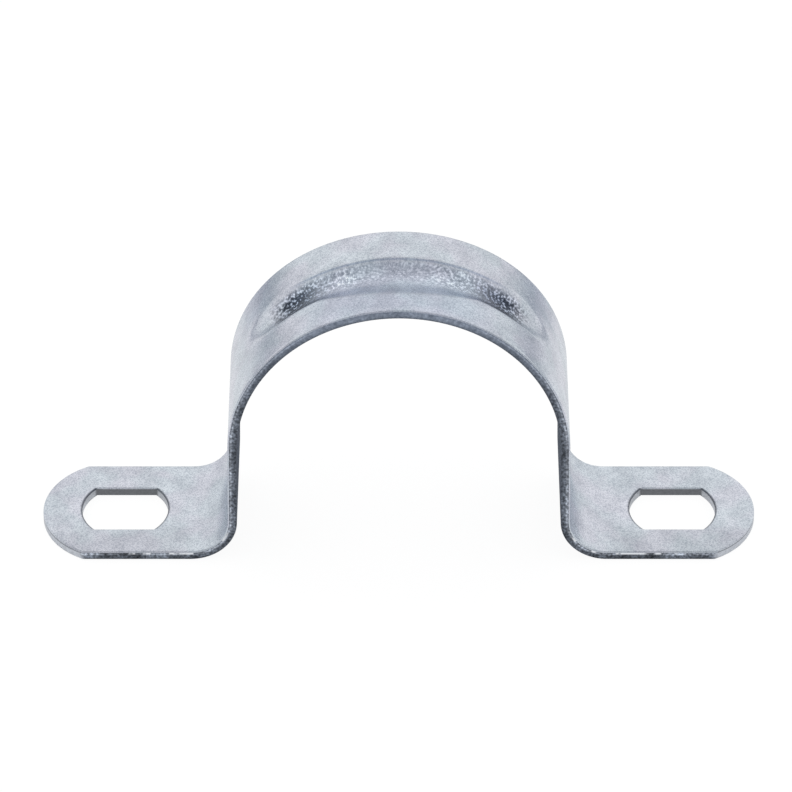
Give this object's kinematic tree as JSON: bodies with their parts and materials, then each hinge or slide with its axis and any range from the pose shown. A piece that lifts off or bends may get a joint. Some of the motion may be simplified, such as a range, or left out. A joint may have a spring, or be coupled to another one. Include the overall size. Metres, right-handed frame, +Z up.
{
  "type": "cable clamp",
  "caption": "Two-lug saddle clamp bent from one zinc-plated steel strip, with a pressed stiffening rib in its round crown and a slotted screw tab on each side.",
  "frame": {"origin": "centre of the clamp's footprint, on the surface that its tabs rest on", "axes": "+X along the strip from tab to tab, +Y across the strip along the cable, +Z up from the mounting surface"},
  "size_m": [0.072, 0.0138, 0.0309],
  "materials": {
    "zinc_steel": "dull zinc plating, darker sheared edges"
  },
  "bodies": {
    "root": {"clamp_strap": "zinc_steel"}
  },
  "joints": []
}
